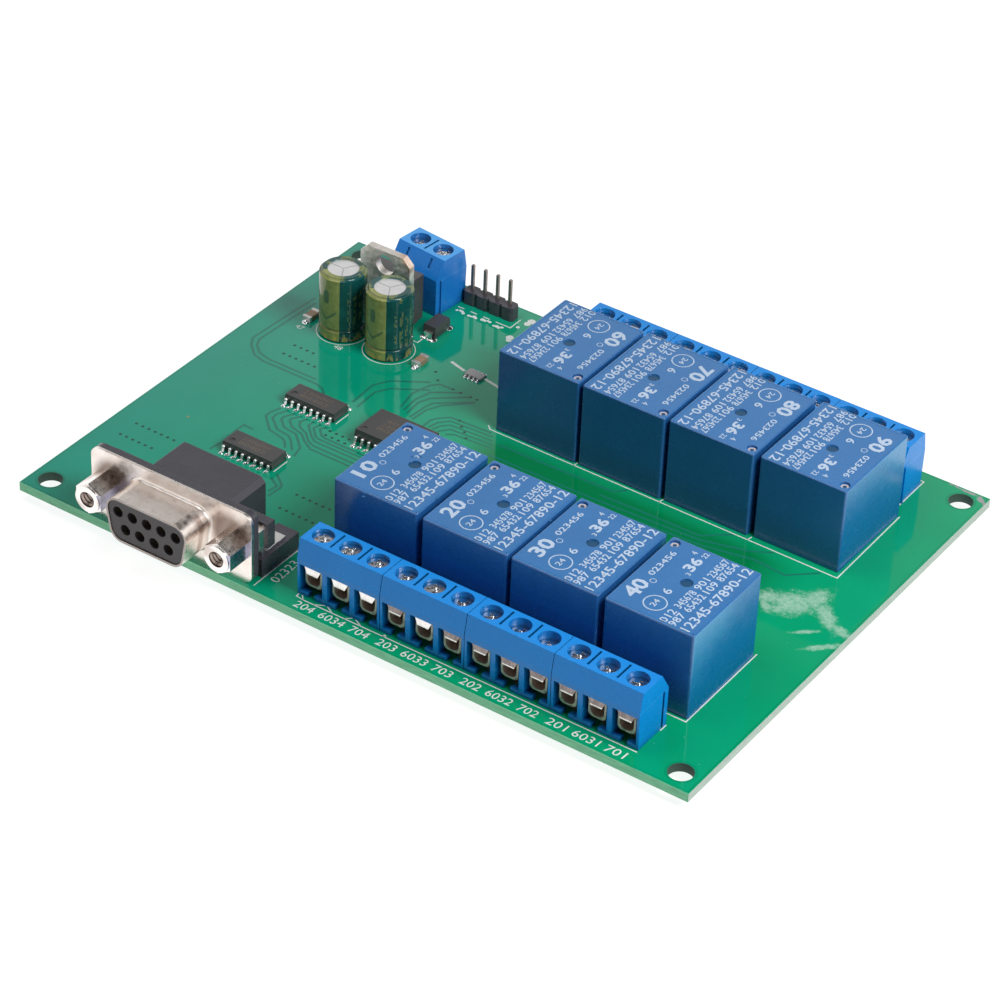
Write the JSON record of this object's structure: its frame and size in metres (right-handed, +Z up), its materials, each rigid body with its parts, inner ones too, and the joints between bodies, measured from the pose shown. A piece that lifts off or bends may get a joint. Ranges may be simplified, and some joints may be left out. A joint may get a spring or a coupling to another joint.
{
  "type": "relay module board",
  "caption": "Rectangular circuit board with rows of sealed cube relays, screw terminal blocks, a serial port socket, power terminal, capacitors and logic chips.",
  "frame": {"origin": "centre of the four mounting holes, on the board's underside", "axes": "+X along the long edge, +Y along the short edge away from the serial port, +Z up through the components"},
  "size_m": [0.124, 0.0945, 0.0187],
  "materials": {
    "board": "green solder mask with white print",
    "relay_plastic": "satin moulded blue plastic",
    "relay_base_plastic": "dark blue sealed base",
    "terminal_plastic": "glossy moulded blue plastic",
    "tinned_metal": "tinned leads and clamps",
    "screw_metal": "bright plated screws",
    "port_metal": "nickel plated drawn shell",
    "port_plastic": "black moulded insulator",
    "contact_gold": "gold flashed contacts",
    "can_metal": "bare aluminium can",
    "sleeve_film": "shrunk film, dark teal with a gold stripe",
    "seal_rubber": "black rubber seal",
    "chip_plastic": "black moulding compound",
    "ceramic": "ceramic block with tinned ends"
  },
  "bodies": {
    "root": {"circuit_board": "board", "relay_pins": "tinned_metal", "relay_case_1": "relay_plastic", "relay_base_1": "relay_base_plastic", "terminal_housing_1": "terminal_plastic", "relay_case_2": "relay_plastic", "relay_base_2": "relay_base_plastic", "terminal_housing_2": "terminal_plastic", "relay_case_3": "relay_plastic", "relay_base_3": "relay_base_plastic", "terminal_housing_3": "terminal_plastic", "relay_case_4": "relay_plastic", "relay_base_4": "relay_base_plastic", "terminal_housing_4": "terminal_plastic", "relay_case_5": "relay_plastic", "relay_base_5": "relay_base_plastic", "terminal_housing_5": "terminal_plastic", "relay_case_6": "relay_plastic", "relay_base_6": "relay_base_plastic", "terminal_housing_6": "terminal_plastic", "relay_case_7": "relay_plastic", "relay_base_7": "relay_base_plastic", "terminal_housing_7": "terminal_plastic", "relay_case_8": "relay_plastic", "relay_base_8": "relay_base_plastic", "terminal_housing_8": "terminal_plastic", "power_terminal_housing": "terminal_plastic", "terminal_screws": "screw_metal", "terminal_cages": "tinned_metal", "terminal_leaves": "tinned_metal", "port_shell": "port_metal", "port_insert": "port_plastic", "port_housing": "port_plastic", "port_contacts": "contact_gold", "port_jack_screws": "port_metal", "port_nuts": "port_metal", "port_board_locks": "tinned_metal", "capacitor_leads": "tinned_metal", "regulator_tab": "tinned_metal", "regulator_body": "chip_plastic", "regulator_leads": "tinned_metal", "lower_chip_body": "chip_plastic", "upper_chip_body": "chip_plastic", "wide_chip_body": "chip_plastic", "lower_chip_leads": "tinned_metal", "upper_chip_leads": "tinned_metal", "wide_chip_leads": "tinned_metal", "diode_body": "chip_plastic", "diode_tabs": "tinned_metal", "resistor_network": "ceramic", "header_base": "port_plastic", "header_pins": "tinned_metal", "capacitor_can_1": "can_metal", "capacitor_sleeve_1": "sleeve_film", "capacitor_seal_1": "seal_rubber", "chip_capacitor_1": "ceramic", "capacitor_can_2": "can_metal", "capacitor_sleeve_2": "sleeve_film", "capacitor_seal_2": "seal_rubber", "chip_capacitor_2": "ceramic"}
  },
  "joints": []
}
